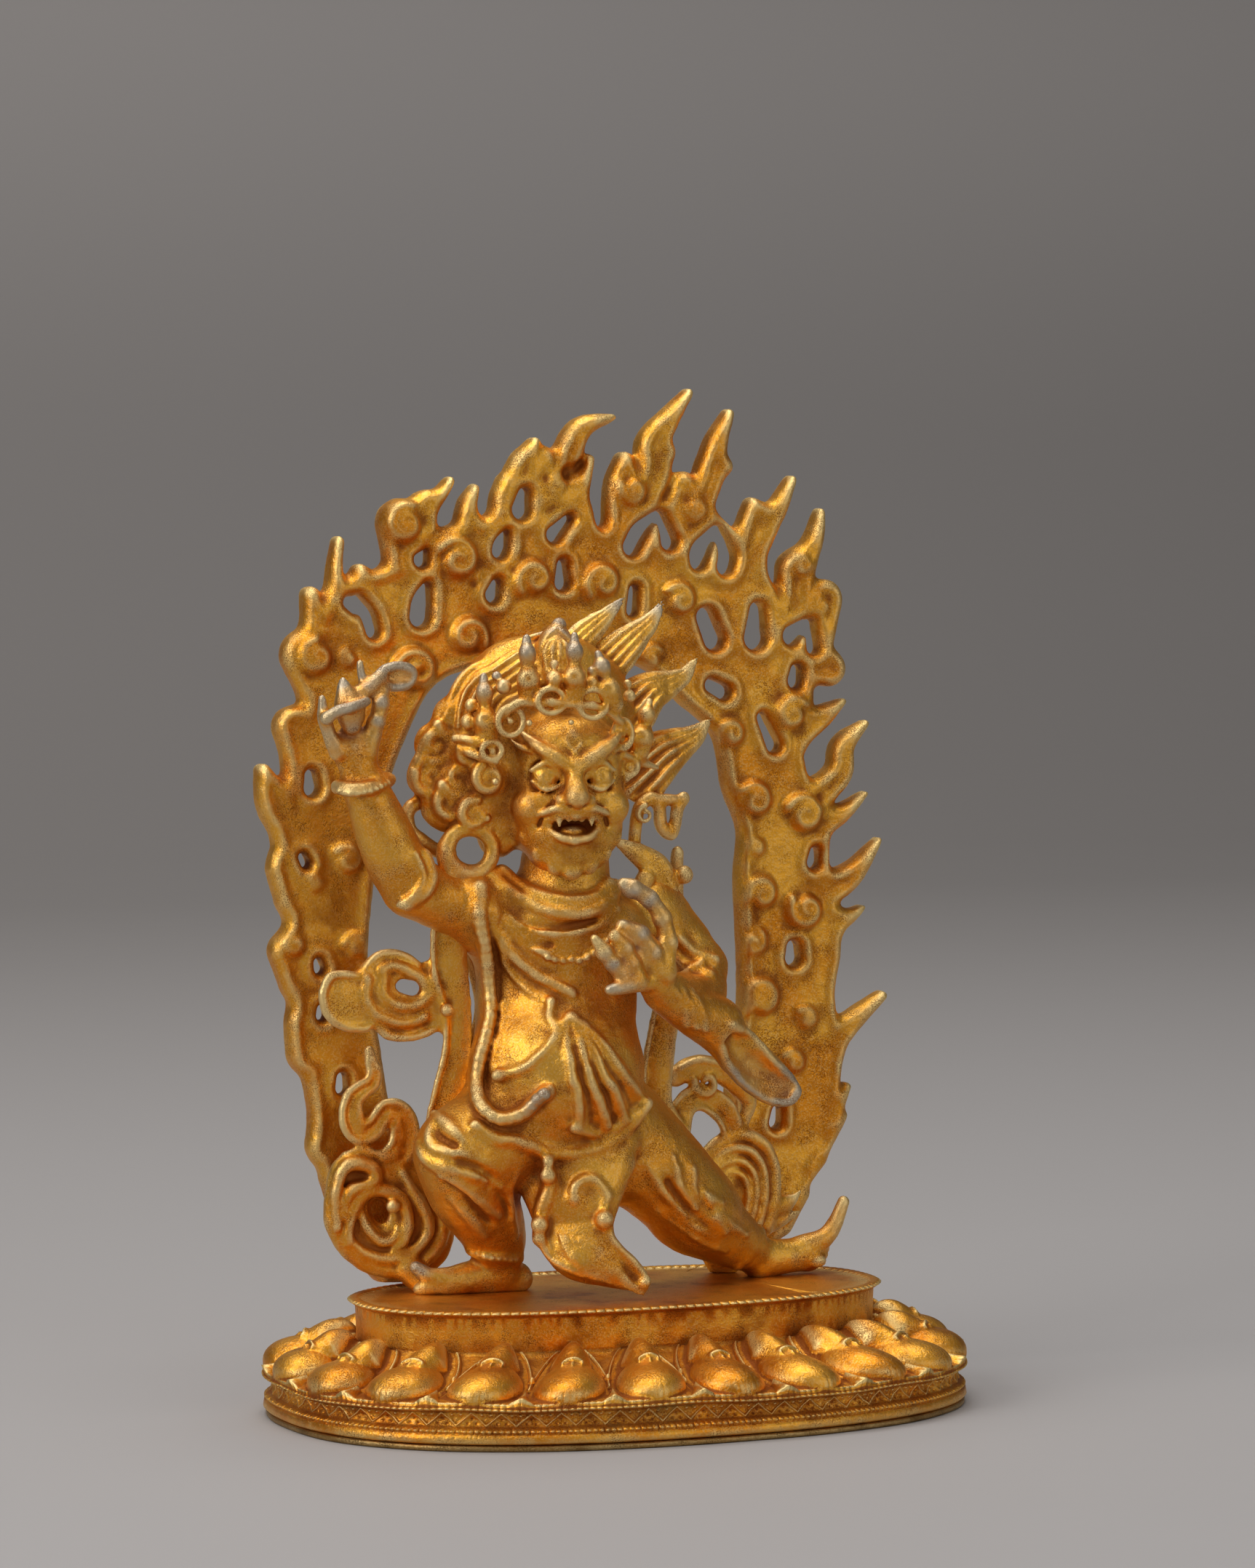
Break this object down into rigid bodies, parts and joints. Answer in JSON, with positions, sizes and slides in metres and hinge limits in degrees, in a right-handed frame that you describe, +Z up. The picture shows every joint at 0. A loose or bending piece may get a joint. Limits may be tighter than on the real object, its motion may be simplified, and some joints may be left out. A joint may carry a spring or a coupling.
{
  "type": "vajrapani statue",
  "caption": "Miniature gilt cast statue of a wrathful guardian deity striding on an oval lotus base before a pierced flame arch, right hand raised with a thunderbolt.",
  "frame": {"origin": "centre of the base's flat underside", "axes": "+Z up, +X to the viewer's right along the base's length, -Y out of the front"},
  "size_m": [0.0398, 0.0284, 0.0569],
  "materials": {
    "gilt_base": "worn satin fire gilding, rust brown in the hollows",
    "copper_sheet": "dull sheet copper",
    "gilt_figure": "satin fire gilding, pale on the raised edges",
    "gilt_aureole": "satin fire gilding, orange in the field"
  },
  "bodies": {
    "root": {"lotus_base": "gilt_base", "base_plate": "copper_sheet", "figure": "gilt_figure", "flame_aureole": "gilt_aureole"}
  },
  "joints": []
}
